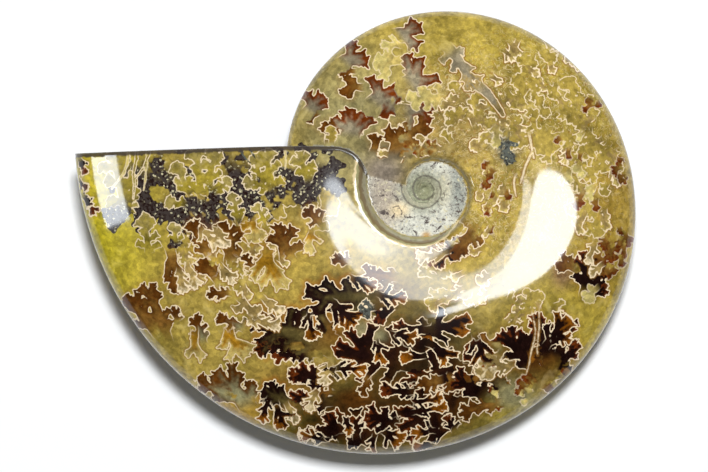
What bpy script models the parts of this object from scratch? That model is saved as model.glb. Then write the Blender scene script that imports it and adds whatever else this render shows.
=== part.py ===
"""Polished cleoniceras ammonite, one solid stone lying on its flank.

Metres, +Z up. The shell coils about +Z and the camera side is +Z. +X runs along the longest side, with the
flat cut of the opening at the -X end. The origin is the middle of the underside of the bounding box.
Coil angles start at the -X side of the pole and grow counter-clockwise, inwards along the shell.
"""
import math

import bmesh
import bpy
import numpy as np

TURN = 2.0 * math.pi

# Outer edge of the coil: a logarithmic spiral about the pole
LENGTH = 0.115
TIP_RADIUS = 0.616 * LENGTH
TIP_ANGLE = math.radians(-4.0)
COIL_RATE = 0.1501

# Rim of the umbilicus: its radius at every quarter turn, then the same spiral law
QUARTER_TURN = TURN / 4.0
RIM_RADII = (0.0138, 0.0125, 0.0106, 0.0065, 0.0045)
SEAM_TO_RIM = 0.83

# The umbilicus sits a little below and right of the pole that the outline has
UMBILICUS_SHIFT_X = 0.00076
UMBILICUS_SHIFT_Y = -0.00168
SHIFT_REACH = 0.0164

# Flat polished cut across the opening: its height above the pole, and its rounded inner corner
CUT_HEIGHT = 0.0057
CUT_RISE = 0.033
CORNER_START = 0.0115
CORNER_END = 0.0201
CORNER_LEAN = 0.2
CORNER_POWER = 2.2

# Whorl section, seen across the coil: seam, steep wall, shoulder, flank and narrow rounded venter
HALF_THICKNESS = 0.0152
OUTER_THINNING = 0.10
INNER_THINNING = 0.05
SHOULDER_AT = 0.045
CREST_AT = 0.30
SHOULDER_DIP = 0.08
FLANK_POWER = 2.0
TAPER_POWER = 0.82
WALL_POWER = 2.2
VENTER_RADIUS = 0.0021
CENTRE_FILL = 0.8

# How the stone lies: it leans until the lower flank meets the ground in balance, and is ground flat there
SLOPE_X = -0.046
SLOPE_Y = 0.045
GROUND_DEPTH = 0.0005

# Mesh: rows cross the whorl, columns run along it
ROWS_PER_TURN = 96
TURNS = 3
COLUMNS = (0.0, 0.02, SHOULDER_AT, 0.13, 0.30, 0.42, 0.54, 0.65, 0.75, 0.83, 0.895, 0.945, 0.98, 1.0)
SEAM_COLUMN = 4
SETTLING_STEPS = 40
SHARP_ANGLE = math.radians(35.0)

STONE_COLOUR = (0.30, 0.20, 0.06, 1.0)
STONE_ROUGHNESS = 0.12


def smooth_through(xs, ys, x):
    """Cubic curve through the points (xs, ys), with each slope taken from the neighbours."""
    slopes = np.gradient(ys, xs)
    left = int(np.clip(np.searchsorted(xs, x) - 1, 0, len(xs) - 2))
    step = xs[left + 1] - xs[left]
    u = (x - xs[left]) / step
    return (
        (2 * u**3 - 3 * u**2 + 1) * ys[left]
        + (u**3 - 2 * u**2 + u) * step * slopes[left]
        + (3 * u**2 - 2 * u**3) * ys[left + 1]
        + (u**3 - u**2) * step * slopes[left + 1]
    )


def venter_radius(angle):
    """Pole to outer edge of the coil."""
    return TIP_RADIUS * math.exp(-COIL_RATE * (angle - TIP_ANGLE))


def seam_radius(angle):
    """Umbilicus centre to the seam where this whorl's wall meets the whorl beneath."""
    quarters = QUARTER_TURN * np.arange(len(RIM_RADII))
    if angle > quarters[-1]:
        rim = RIM_RADII[-1] * math.exp(-COIL_RATE * (angle - quarters[-1]))
    else:
        rim = math.exp(smooth_through(quarters, np.log(RIM_RADII), angle))
    return SEAM_TO_RIM * rim


def lean(radius):
    """Angle by which a row trails behind, so that row 0 follows the cut and its rounded corner."""
    straight = CUT_HEIGHT + CUT_RISE * (TIP_RADIUS - radius)
    past_corner = min(max((radius - CORNER_START) / (CORNER_END - CORNER_START), 0.0), 1.0)
    share = 1.0 - (1.0 - past_corner) ** CORNER_POWER
    height = (1.0 - share) * CORNER_LEAN * radius + share * straight
    return math.asin(height / radius)


def radius_on_row(guide, row_angle):
    """Radius at which the leaning row meets a guide curve, found by settling."""
    radius = guide(row_angle)
    for _ in range(SETTLING_STEPS):
        radius = guide(row_angle - lean(radius))
    return radius


def plan_point(radius, angle):
    """Place in plan of a point at this radius and coil angle."""
    shift = math.exp(-((radius / SHIFT_REACH) ** 2))
    x = -radius * math.cos(angle) + shift * UMBILICUS_SHIFT_X
    y = -radius * math.sin(angle) + shift * UMBILICUS_SHIFT_Y
    return x, y


def half_thickness(angle):
    """Greatest half thickness of the whorl, thinning inwards along the shell."""
    outer = min(angle, TURN)
    return HALF_THICKNESS * math.exp(-OUTER_THINNING * outer - INNER_THINNING * (angle - outer))


def section_height(row_angle, across, width, seam_height):
    """Height above the middle plane at a share across the whorl: 0 at the seam, 1 at the venter."""
    crest = half_thickness(row_angle)
    keel = VENTER_RADIUS * math.exp(-COIL_RATE * row_angle)
    place = max(across, SHOULDER_AT)
    fall = max(place - CREST_AT, 0.0) / (1.0 - CREST_AT)
    dip = max(CREST_AT - place, 0.0) / CREST_AT
    flank = (1.0 - fall**FLANK_POWER) ** TAPER_POWER * (1.0 - SHOULDER_DIP * dip**2)
    edge_distance = min((1.0 - place) * width / keel, 1.0)
    rounding = math.sqrt(1.0 - (1.0 - edge_distance) ** 2)
    height = (crest - keel) * flank + keel * rounding
    climb = 1.0 - (1.0 - min(across / SHOULDER_AT, 1.0)) ** WALL_POWER
    return seam_height + (height - seam_height) * climb


def row_radii(row, seam, venter):
    """Radius of each column of a row. A covered row has its seam column where the whorl above it starts."""
    if row < ROWS_PER_TURN:
        return np.interp(COLUMNS, (0.0, 1.0), (seam, venter))
    cover = radius_on_row(seam_radius, TURN * row / ROWS_PER_TURN - TURN)
    radii = np.interp(COLUMNS, (0.0, COLUMNS[SEAM_COLUMN], 1.0), (seam, cover, venter))
    return radii if row == ROWS_PER_TURN else radii[: SEAM_COLUMN + 1]


def coil_grid():
    """Plan places and half heights of every row, from the innermost outwards, keyed by row and column."""
    places, heights = {}, {}
    for row in range(ROWS_PER_TURN * TURNS, -1, -1):
        row_angle = TURN * row / ROWS_PER_TURN
        seam = radius_on_row(seam_radius, row_angle)
        width = radius_on_row(venter_radius, row_angle) - seam
        beneath = (row + ROWS_PER_TURN, SEAM_COLUMN)
        seam_height = heights.get(beneath, CENTRE_FILL * half_thickness(row_angle))
        for column, radius in enumerate(row_radii(row, seam, seam + width)):
            places[row, column] = plan_point(radius, row_angle - lean(radius))
            heights[row, column] = section_height(row_angle, (radius - seam) / width, width, seam_height)
    return places, heights


def side_vertices(mesh, places, heights, side, shared):
    """Vertices of one side of the stone. A covered row ends on the seam vertices of the row above it."""
    made = {}
    for row, column in sorted(places):
        covering = (row - ROWS_PER_TURN, 0)
        if column == SEAM_COLUMN and covering in made:
            made[row, column] = made[covering]
        elif (row, column) in shared:
            made[row, column] = shared[row, column]
        else:
            x, y = places[row, column]
            z = SLOPE_X * x + SLOPE_Y * y + side * heights[row, column]
            made[row, column] = mesh.verts.new((x, y, z))
    return made


def add_side_faces(mesh, vertices):
    """Quads between neighbouring rows and columns, two triangles each."""
    for row, column in vertices:
        corners = [(row, column), (row + 1, column), (row + 1, column + 1), (row, column + 1)]
        if all(corner in vertices for corner in corners):
            low, next_low, next_high, high = (vertices[corner] for corner in corners)
            mesh.faces.new((low, next_low, next_high))
            mesh.faces.new((low, next_high, high))


def close_centre(mesh, vertices, height):
    """Fan over the innermost turn."""
    last_row = ROWS_PER_TURN * TURNS
    rim = [vertices[row, 0] for row in range(last_row - ROWS_PER_TURN, last_row + 1)]
    rim += [vertices[last_row, column] for column in range(1, SEAM_COLUMN)]
    x, y = plan_point(0.0, 0.0)
    middle = mesh.verts.new((x, y, SLOPE_X * x + SLOPE_Y * y + height))
    for here, there in zip(rim, rim[1:] + rim[:1]):
        mesh.faces.new((middle, here, there))


def bridge(mesh, outer, inner):
    """Triangles between two chains that share their first vertex and run the same way along X."""
    i = j = 1
    mesh.faces.new((outer[0], inner[1], outer[1]))
    while i < len(outer) - 1 or j < len(inner) - 1:
        outer_done = i == len(outer) - 1
        inner_done = j == len(inner) - 1
        if outer_done or not inner_done and inner[j + 1].co.x > outer[i + 1].co.x:
            mesh.faces.new((outer[i], inner[j], inner[j + 1]))
            j += 1
        else:
            mesh.faces.new((outer[i], inner[j], outer[i + 1]))
            i += 1


def close_cut(mesh, vertices):
    """Half of the flat cut, between the section of the opening and the whorl that it clasps."""
    last_column = len(COLUMNS) - 1
    outer = [vertices[0, column] for column in range(last_column + 1)]
    inner = [vertices[ROWS_PER_TURN, column] for column in range(SEAM_COLUMN, last_column + 1)]
    bridge(mesh, outer, inner)


def lay_down(mesh):
    """Set the lowest flank on the ground, grind its flat spot and centre the stone over the origin."""
    low = min(vertex.co.z for vertex in mesh.verts)
    for vertex in mesh.verts:
        vertex.co.z = max(vertex.co.z - low - GROUND_DEPTH, 0.0)
    middle = [
        (min(vertex.co[axis] for vertex in mesh.verts) + max(vertex.co[axis] for vertex in mesh.verts)) / 2
        for axis in (0, 1)
    ]
    for vertex in mesh.verts:
        vertex.co.x -= middle[0]
        vertex.co.y -= middle[1]


def ammonite_mesh():
    """The closed surface of the stone: two flanks that share the venter, two umbilici and the cut."""
    places, heights = coil_grid()
    mesh = bmesh.new()
    top = side_vertices(mesh, places, heights, 1.0, {})
    last_column = len(COLUMNS) - 1
    venter = {key: vertex for key, vertex in top.items() if key[1] == last_column}
    bottom = side_vertices(mesh, places, heights, -1.0, venter)
    centre_height = CENTRE_FILL * half_thickness(TURN * TURNS)
    for vertices, side in ((top, 1.0), (bottom, -1.0)):
        add_side_faces(mesh, vertices)
        close_centre(mesh, vertices, side * centre_height)
        close_cut(mesh, vertices)
    bmesh.ops.recalc_face_normals(mesh, faces=mesh.faces)
    lay_down(mesh)
    return mesh


def stone_material():
    material = bpy.data.materials.new("polished_fossil")
    material.use_nodes = True
    shader = material.node_tree.nodes["Principled BSDF"]
    shader.inputs["Base Color"].default_value = STONE_COLOUR
    shader.inputs["Roughness"].default_value = STONE_ROUGHNESS
    shader.inputs["Metallic"].default_value = 0.0
    return material


def make_ammonite():
    mesh = ammonite_mesh()
    data = bpy.data.meshes.new("ammonite")
    mesh.to_mesh(data)
    mesh.free()
    data.shade_smooth()
    data.set_sharp_from_angle(angle=SHARP_ANGLE)
    data.materials.append(stone_material())
    stone = bpy.data.objects.new("ammonite", data)
    bpy.context.scene.collection.objects.link(stone)
    return stone


for leftover in list(bpy.data.objects):
    bpy.data.objects.remove(leftover, do_unlink=True)
make_ammonite()
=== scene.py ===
"""Polished ammonite fossil, dressed: one fine stone surface with leaf-shaped suture lines.

Metres, +Z up, in the frame of the solids. The stone coils about a pole. Coil angles start at the -X side of
the pole and grow counter-clockwise, inwards along the shell. A row crosses the whorl from the seam of the
umbilicus to the venter, the outer edge, and trails behind by a lean so that row 0 is the flat cut.
"""
import math

import bpy
import numpy as np
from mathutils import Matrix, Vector
from mathutils.geometry import delaunay_2d_cdt


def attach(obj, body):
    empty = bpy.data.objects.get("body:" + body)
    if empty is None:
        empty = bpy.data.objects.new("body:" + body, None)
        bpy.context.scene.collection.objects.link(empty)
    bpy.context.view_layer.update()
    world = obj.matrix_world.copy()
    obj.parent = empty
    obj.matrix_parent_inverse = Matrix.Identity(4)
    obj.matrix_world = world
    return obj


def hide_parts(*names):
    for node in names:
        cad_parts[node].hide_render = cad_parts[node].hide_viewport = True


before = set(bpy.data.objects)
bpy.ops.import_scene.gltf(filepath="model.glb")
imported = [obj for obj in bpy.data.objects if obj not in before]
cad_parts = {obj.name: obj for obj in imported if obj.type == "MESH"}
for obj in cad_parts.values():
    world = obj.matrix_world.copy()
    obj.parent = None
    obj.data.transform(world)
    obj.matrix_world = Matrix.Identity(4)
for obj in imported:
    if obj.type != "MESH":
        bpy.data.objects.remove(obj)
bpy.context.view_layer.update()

TURN = 2.0 * math.pi
MM = 0.001
TINY = 1e-9

# Outer edge of the coil and rim of the umbilicus, as in the solid
LENGTH = 0.115
TIP_RADIUS = 0.616 * LENGTH
TIP_ANGLE = math.radians(-4.0)
COIL_RATE = 0.1501
QUARTER_TURN = TURN / 4.0
RIM_RADII = (0.0138, 0.0125, 0.0106, 0.0065, 0.0045)
SEAM_TO_RIM = 0.83
UMBILICUS_SHIFT_X = 0.00076
UMBILICUS_SHIFT_Y = -0.00168
SHIFT_REACH = 0.0164

# Flat cut across the opening, as in the solid
CUT_HEIGHT = 0.0057
CUT_RISE = 0.033
CORNER_START = 0.0115
CORNER_END = 0.0201
CORNER_LEAN = 0.2
CORNER_POWER = 2.2

# Whorl section, as in the solid
HALF_THICKNESS = 0.0152
OUTER_THINNING = 0.10
INNER_THINNING = 0.05
SHOULDER_AT = 0.045
CREST_AT = 0.30
SHOULDER_DIP = 0.08
FLANK_POWER = 2.0
TAPER_POWER = 0.82
WALL_POWER = 2.2
VENTER_RADIUS = 0.0021
CENTRE_FILL = 0.8
TURNS = 3
SLOPE_X = -0.046
SLOPE_Y = 0.045
GROUND_DEPTH = 0.0005

# Fine surface: spacing of the points on each side, and polished rounding of the cut's edge
TOP_SPACING = 0.25 * MM
BOTTOM_SPACING = 0.90 * MM
FINE_REACH = 0.3 * MM
EDGE_STEP = 0.45 * MM
CUT_STEP = 0.33 * MM
SEAM_STEP = 0.25 * MM
EDGE_ANGLES = np.radians((0.0, 12.0, 24.0, 37.0, 51.0, 68.0, 90.0))
CUT_EDGE = 0.55 * MM
CUT_OFFSETS = np.array((0.0, 0.04, 0.14, 0.30, 0.55)) * MM
SLIT_GAP = 0.004 * MM
WALL_STEPS = (0.0, 0.1, 0.22, 0.36, 0.5, 0.64, 0.78, 0.9, 0.97, 1.0)
# Room that the lattice leaves, in spacings, and its shares beside the outer edge and the cut, and beside
# the seams
CLEARANCE = 0.6
EDGE_GAP, SEAM_GAP = 0.7, 0.8
# Greatest share of the step at the cut that the rounding takes, and the angle that the venter's inner lines
# leave free at the far end
EDGE_SHARE = 0.4
END_ANGLE = 0.004
# Samples and least number of steps along a curve, margin of the lattice, and places that count as one
ARC_SAMPLES, LEAST_STEPS = 4000, 8
LATTICE_MARGIN = 1.02
WELD_SIZE = 0.0005 * MM
SETTLING_STEPS = 40
TABLE_ROWS = 1440

# Painted wall of the umbilicus: row angles at which it starts to fade and over which it does, what the fade
# adds, and the caps of the climb and of the distance to the cut in mm
WALL_START = 1.9
WALL_FADE = 1.2
WALL_FADE_CLIMB = 2.0
MOST_CLIMB, FAR_FROM_CUT = 4.0, 9.0

# Leaf shapes of the suture pattern
SEED = 7
UNDERSIDE_TURN = 0.4
LEAF_REACH = 3.2 * MM
BLEND = 0.05 * MM
LEAF_GAIN = {"frond": 1.3, "spiky": 1.3, "hand": 1.25, "crack": 1.0}
ROOT_FADE = 0.38
TIP_START = 0.8
SPINE_LEAST, SPINE_MOST = 0.5 * MM, 2.2 * MM
LOBE_LEAST, LOBE_MOST = 0.4 * MM, 1.15 * MM
# Half width of the spine in half breadths, step between lobes in lobe half widths, their turn away from the
# spine and their reach in half breadths
LEAF_HABITS = {
    "frond": (0.33, 4.1, 0.9, 1.25),
    "spiky": (0.42, 3.5, 0.8, 1.15),
    "hand": (0.27, 4.0, 0.65, 1.4),
}
# Widths of a lobe's neck, of its end and of its bumps' ends as shares of its own, and the bumps' turn
LOBE_HABITS = {
    "frond": (0.7, 1.0, 0.5, 0.85),
    "spiky": (0.8, 0.75, 0.28, 0.75),
    "hand": (0.85, 0.6, 0.2, 0.6),
}

# Widths of a spine at its root and tip as shares of its own
ROOT_WIDTH, TIP_WIDTH = 1.2, 0.75
# Bends of a leaf's parts in radians, the pieces they are made of, and the ranges of random draws
SPINE_BEND, LOBE_BEND, CRACK_BEND = 0.07, 0.18, 0.14
SPINE_PIECES, LOBE_PIECES, CRACK_PIECES = 4, 3, 8
PLACE_RANGE, TURN_RANGE = (-0.1, 0.1), (-0.15, 0.15)
BUMP_REACH, LOBE_REACH, TIP_REACH = (0.9, 1.6), (0.8, 1.15), (0.85, 1.1)
SCATTER_BEND = 0.5
SCATTER_SIZES = (0.6, 1.4)
SEED_STEP = 1000

# Leaf outlines in mm: size and height of the ripples, reach of the glow, softness of the edge, drift of the
# edge colour, its extra depth towards the root, and the bands of the brown and pale outlines
OUTLINE_RIPPLES = ((1.2, 0.3), (0.45, 0.14))
HALO_REACH = 1.3
SOFT_EDGE = 0.06
DRIFT_SIZE, DRIFT_DEPTH = 1.9, 0.9
ROOT_DEPTH = 1.3
BROWN_OUTER, BROWN_INNER = (0.42, 0.22), (-0.05, 0.08)
LINE_BAND = (0.135, 0.05)

# Finish of the materials
STONE_ROUGHNESS = 0.28
STONE_SPECULAR = 0.03
COAT_ROUGHNESS = 0.06
MATRIX_ROUGHNESS = 0.55
MATRIX_SPECULAR = 0.3
MATRIX_BUMP = 0.5
MATRIX_RELIEF = 0.2 * MM
CUT_ROUGHNESS = 0.35

# Camera, floor and light
CAMERA_HEIGHT = 1.1
CAMERA_X = -0.00043
CAMERA_Y = -0.0006
SENSOR = 36.0
PICTURE_WIDTH = 0.145
VENTER_HEIGHT = 0.015
FLOOR_SIZE = 6.0
FLOOR_COLOUR = (0.84, 0.86, 0.88, 1.0)
FLOOR_ROUGHNESS = 0.9
FLOOR_SPECULAR = 0.1
WORLD_COLOUR = (0.95, 0.97, 1.0, 1.0)
WORLD_STRENGTH = 0.15
AIM_POINT = (0.0, 0.0, 0.02)

# Soft boxes: name, outline, place, width and height, turn in plan or None to face the stone, radiance,
# whether they light the stone and whether they shine on it
PANEL_COLOUR = (0.88, 0.94, 1.0)
PANELS = (
    ("band_gloss_panel", "RECTANGLE", (0.305, -0.1725, 1.0), (0.07, 0.145), 0.0, 18.0, False, True),
    ("tip_gloss_panel", "RECTANGLE", (0.2575, -0.225, 1.0), (0.025, 0.06), 0.0, 16.0, False, True),
    ("bend_gloss_panel", "RECTANGLE", (0.25, -0.0225, 1.0), (0.10, 0.155), 0.0, 10.0, False, True),
    ("right_gloss_panel", "ELLIPSE", (0.62, -0.09, 1.0), (0.76, 0.43), 0.0, 20.0, False, True),
    ("side_gloss_panel", "RECTANGLE", (-1.07, -0.26, 0.68), (0.30, 0.34), None, 15.0, False, True),
    ("top_light", "RECTANGLE", (0.05, 0.40, 1.5), (0.24, 0.24), None, 148.0, True, False),
)


def srgb(red, green, blue):
    """Linear colour of an sRGB colour given in 0 to 255."""
    value = np.array([red, green, blue]) / 255.0
    return np.where(value > 0.04045, ((value + 0.055) / 1.055) ** 2.4, value / 12.92)


HONEY = srgb(182, 158, 74)
OLIVE = srgb(158, 140, 50)
YELLOW = srgb(212, 196, 38)
GOLD = srgb(168, 122, 30)
GREEN_GREY = srgb(160, 154, 112)
PALE_GREY = srgb(158, 146, 118)
OLIVE_GREY = srgb(104, 90, 48)
TAN = srgb(168, 142, 84)
AMBER = srgb(150, 88, 16)
DARK_AMBER = srgb(136, 96, 40)
BROWN = srgb(100, 58, 16)
RUST = srgb(114, 52, 14)
BLACK_BROWN = srgb(34, 16, 12)
CREAM = srgb(236, 214, 168)
STRAW = srgb(208, 184, 106)
LEMON = srgb(222, 204, 124)
OLIVE_RIM = srgb(172, 154, 86)
PALE = srgb(206, 198, 160)
DARK_GREY = srgb(64, 56, 52)
SLATE = srgb(96, 100, 92)
LINE = srgb(236, 216, 180)
PINK_BROWN = srgb(128, 92, 74)
BLUE_GREY = srgb(126, 132, 124)
MATRIX = srgb(202, 202, 190)
CHALK = srgb(214, 208, 184)
MUD = srgb(160, 146, 128)
MUD_DARK = srgb(74, 62, 56)
DISC_GREEN = srgb(128, 132, 100)

# Leaf styles: colour at the edge, colour inside, depth of the edge colour in mm, strength of the pale
# outline, amber glow outside (or, below zero, a brown outline), and druse crust with painted crystal glints
STYLES = {
    "black": (*RUST, *BLACK_BROWN, 0.35, 1.0, 0.12, 0.0),
    "brown": (*BROWN, *DARK_AMBER, 1.0, 0.9, 0.15, 0.0),
    "shade": (*BLACK_BROWN, *OLIVE_GREY, 1.35, 1.0, 0.5, 0.0),
    "grey": (*BROWN, *GREEN_GREY, 1.25, 0.9, 0.0, 0.0),
    "clear": (*RUST, *PALE_GREY, 1.05, 0.85, 0.0, 0.0),
    "gold": (*STRAW, *GOLD, 0.75, 0.7, -0.5, 0.0),
    "amber": (*AMBER, *BLACK_BROWN, 0.45, 1.0, 0.05, 0.0),
    "cream": (*CREAM, *TAN, 0.3, 1.0, -0.6, 0.0),
    "straw": (*LEMON, *STRAW, 0.8, 0.5, 0.0, 0.0),
    "olive": (*OLIVE_RIM, *OLIVE, 0.6, 0.8, 0.0, 0.0),
    "druse": (*DARK_GREY, *DARK_GREY, 1.0, 0.0, 0.0, 1.0),
    "island": (*SLATE, *SLATE, 0.5, 0.9, 0.0, 0.5),
    "faint": (*HONEY, *HONEY, 0.5, 0.75, 0.0, 0.0),
    "froth": (*STRAW, *TAN, 0.35, 1.0, -0.7, 0.0),
    "rusty": (*RUST, *DARK_AMBER, 0.5, 0.4, 0.0, 0.0),
    "scar": (*TAN, *PALE_GREY, 0.6, 0.8, -0.8, 0.0),
    "crack": (*CREAM, *CREAM, 0.3, 0.6, -0.6, 0.0),
    "blue": (*SLATE, *SLATE, 0.3, 0.0, 0.0, 0.6),
}


def leaf_rows(groups):
    """Single leaves, in order, from groups that share a style and a shape."""
    return tuple((style, shape, *leaf) for style, shape, leaves in groups for leaf in leaves)


# Leaves: style and shape, then for each leaf root x and y, tip x and y and half breadth, in mm from the
# middle of the stone
BACK_LEAVES = leaf_rows((
    ("druse", "frond", (
        (-42, 17, -45.5, -0.5, 7.2), (-38, 17, -38, -2, 7.2), (-47, 17, -40, 4, 7.2),
        (-25, 17.5, -27, 3.5, 5.8), (-21, 17.5, -21.5, 2, 5.8), (-12.5, 14.5, -12.5, 6.5, 4),
        (-32, 17.5, -33, 9.5, 6.1), (-7, 15, -7.5, 9, 3.6), (-45, 15, -36, 13, 9), (-40, 8, -33, 2, 6.1),
        (-52, 15.6, -30, 14.6, 3.5), (-34, 15, -17, 14.8, 4.8), (-22, 12.6, -3, 12.2, 3.6),
    )),
    ("druse", "crack", (
        (-24, 14.4, -15, 14.2, 1.5), (-14, 14.4, -5, 13.8, 1.6), (-44, 15.2, -27, 15.2, 1.8),
    )),
    ("druse", "frond", ((-27.5, 12, -21, 7, 4),)),
    ("black", "hand", (
        (-56.8, 15.6, -55, 12.2, 0.9), (-57.3, 11.2, -54.8, 9.2, 0.9), (-56.6, 8.6, -53, 4, 1.1),
    )),
    ("faint", "frond", (
        (45, 25, 43, 31.5, 1.4), (41, 31, 40.3, 27.5, 1), (47.5, 22, 48.5, 16.5, 1.4),
        (52, 19, 50, 12.5, 1.3), (39, 22, 38, 16.8, 2.4), (35.5, 35.5, 33.5, 29.5, 1.4),
        (-20, 3, -12, 10, 2.5), (-10, 0, -3, 6, 2.2),
    )),
    ("black", "spiky", (
        (12, -26, -3.5, -23.5, 4.6), (24, -29, 10, -30, 4.8), (24, -35, 8, -38, 4.6),
        (5, -43, -6, -40, 3.2),
    )),
))
MIDDLE_LEAVES = leaf_rows((
    ("olive", "frond", (
        (-33, 6.8, -36.5, 13.8, 1.4), (-31, 5.5, -32, 17, 1.8), (-30, 7.5, -28.7, 16.8, 1.4),
        (-34, 5.7, -38.4, 6.6, 1), (-29, 7.8, -25.6, 10.7, 0.9), (-16.6, 8.8, -22.5, 10.4, 1.1),
        (-17.2, 7.8, -17.2, 16.4, 1.8), (-19.5, 10.5, -20.5, 15.6, 1), (-9.4, 9.8, -11, 16, 1.6),
        (-23.8, 1.6, -24.6, 7.8, 1), (-18, 1.6, -20.3, 5.6, 0.9), (-42.2, -4.5, -42.2, 3.4, 1.5),
        (-36.5, -2.5, -36.9, 1.9, 1), (-46.5, 3.7, -49, 16.5, 2.4), (-47, 3.5, -45.2, 7.4, 1),
    )),
    ("brown", "hand", ((-38, -2, -36.6, -11.6, 2.9),)),
    ("brown", "spiky", (
        (-38.5, -23, -41.8, -10.2, 2.3), (-39.5, -21, -47, -13.2, 2.5), (-36.5, -18.2, -36.9, -15, 0.9),
    )),
    ("grey", "spiky", (
        (-30.9, -23, -32.4, -16.8, 1.5), (-22.2, -19.9, -27.5, -15.8, 1.3),
    )),
    ("brown", "spiky", (
        (-24.8, -12.3, -30.1, -11.2, 1.1), (-20.5, -7.6, -22.4, -4.2, 0.9), (-25.4, -7.2, -25.4, 2.3, 2.3),
        (-13.5, -6, -15.8, 1, 2.8), (-27.5, -9.6, -31.6, -6, 1.9), (-28.9, -6, -33.6, 2.3, 1.7),
        (-6.4, 1.6, -10.5, 4.7, 1.5),
    )),
    ("shade", "spiky", ((-3.5, -23.5, -19.2, -14.8, 4.6),)),
    ("black", "spiky", (
        (-11.5, -23, -20.5, -20.9, 1.8), (-7.4, -24.4, -17, -25.2, 1.3), (-6.4, -29, -13.7, -28.3, 1.4),
    )),
    ("shade", "spiky", (
        (-11.5, -22.5, -11.8, -16.4, 1.2), (-5.3, -24, -7.2, -17.4, 1.4), (9.5, -13.7, -9.6, -10.2, 3.2),
    )),
    ("black", "spiky", (
        (3.9, -16.2, -3.9, -16, 1), (8, -13.7, 4.5, -18.3, 1.9), (15.5, -19.5, 8, -19.5, 1.7),
    )),
    ("shade", "spiky", ((-12.5, -36, -17.8, -30.5, 2.5),)),
    ("grey", "spiky", (
        (-21.5, -36.5, -26.5, -27.3, 3.2), (-24.5, -33.2, -32.6, -31.3, 2),
        (-21.3, -34.2, -21.5, -30.1, 1.2),
    )),
    ("black", "spiky", (
        (13.1, -32.4, 5, -33.6, 1.3), (9.2, -40.4, 2.2, -37.1, 2.1), (-2.3, -42.5, -5.8, -37.3, 2.1),
        (0.2, -42.5, -0.8, -37.4, 1.3), (-9, -35.2, -10.9, -32.8, 0.9),
    )),
    ("brown", "spiky", (
        (-4.3, -32.6, -8.6, -32.2, 0.9), (2.8, -28.5, 1, -33, 1), (18.2, -29.7, 12.7, -31.4, 1.5),
        (19.2, -28.1, 18.4, -32.4, 1), (26.4, -28.5, 22.1, -31.4, 1.3), (28.5, -23, 23.5, -23.6, 2.1),
    )),
    ("black", "spiky", ((30.5, -31.7, 26.8, -32.2, 0.9),)),
    ("brown", "spiky", ((30.5, -34.6, 21.1, -35, 1.7),)),
    ("black", "spiky", (
        (20.3, -40.8, 18.2, -37.5, 1.1), (35.6, -26, 33.6, -19.9, 1.9),
    )),
    ("brown", "spiky", (
        (39.3, -24.4, 36.2, -26.4, 1.2), (39.7, -29.7, 35, -29.3, 0.9),
    )),
    ("black", "spiky", (
        (46.9, -13.7, 48, -4.5, 2.4), (48, -12.6, 51.5, -11.5, 1.3), (37.7, -29.1, 30.5, -19.9, 2.4),
        (39.3, -28.5, 36.6, -16.8, 2.2), (40.7, -28.5, 44.2, -17.4, 2), (39.3, -30.1, 45.9, -22.9, 1.7),
    )),
    ("brown", "spiky", ((37.7, -31.1, 41.8, -33.2, 1.1),)),
    ("black", "spiky", (
        (30.5, -32.1, 23.3, -22.9, 2.4), (27.4, -34.2, 20.3, -28.5, 2.2), (47.9, -13.7, 50, -6, 1.5),
    )),
    ("brown", "spiky", ((25, 0.5, 19, -4.5, 1.6),)),
    ("black", "spiky", (
        (-3.3, -31.1, -11.5, -27, 2), (-4.3, -34.2, -13.5, -35.2, 1.7), (-1, -40.3, -11.5, -41.5, 1.6),
        (20.5, -1.5, 16, -6.5, 1.4),
    )),
    ("clear", "spiky", (
        (-2.9, 34.2, 0.8, 37.9, 2.9), (3.3, 25.6, 6.6, 30.1, 3.5), (7.4, 27.2, 6.1, 23.6, 1.8),
        (-1.3, 19, -0.4, 24.6, 3.5), (-9.9, 24.2, -7.8, 28.5, 2.5), (10, 29.3, 15.6, 33, 3.8),
        (8, 40, 12.1, 42.4, 2.9), (9, 24.8, 15.4, 25.6, 2.3),
    )),
    ("brown", "spiky", (
        (9, 19, 15.6, 21.9, 1.8), (8, 15.5, 7.4, 21.5, 2.3), (-5.3, 18, -6.2, 22.7, 1.8),
        (3.3, 16, 4.5, 20.1, 1.4),
    )),
    ("brown", "hand", ((0.4, 33, -3.3, 32.8, 1.1),)),
    ("brown", "frond", ((2, 29.7, -3.1, 29.3, 1.7),)),
    ("brown", "hand", ((-7.4, 24.8, -9.8, 22.9, 1),)),
    ("brown", "spiky", (
        (25, 2.3, 20.9, -5.1, 1.9), (-0.8, -5.9, -4.5, -4.5, 1.2), (9, -9, 1, -8.5, 1.6),
        (45, -7, 41, -6.5, 1.8),
    )),
))
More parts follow.
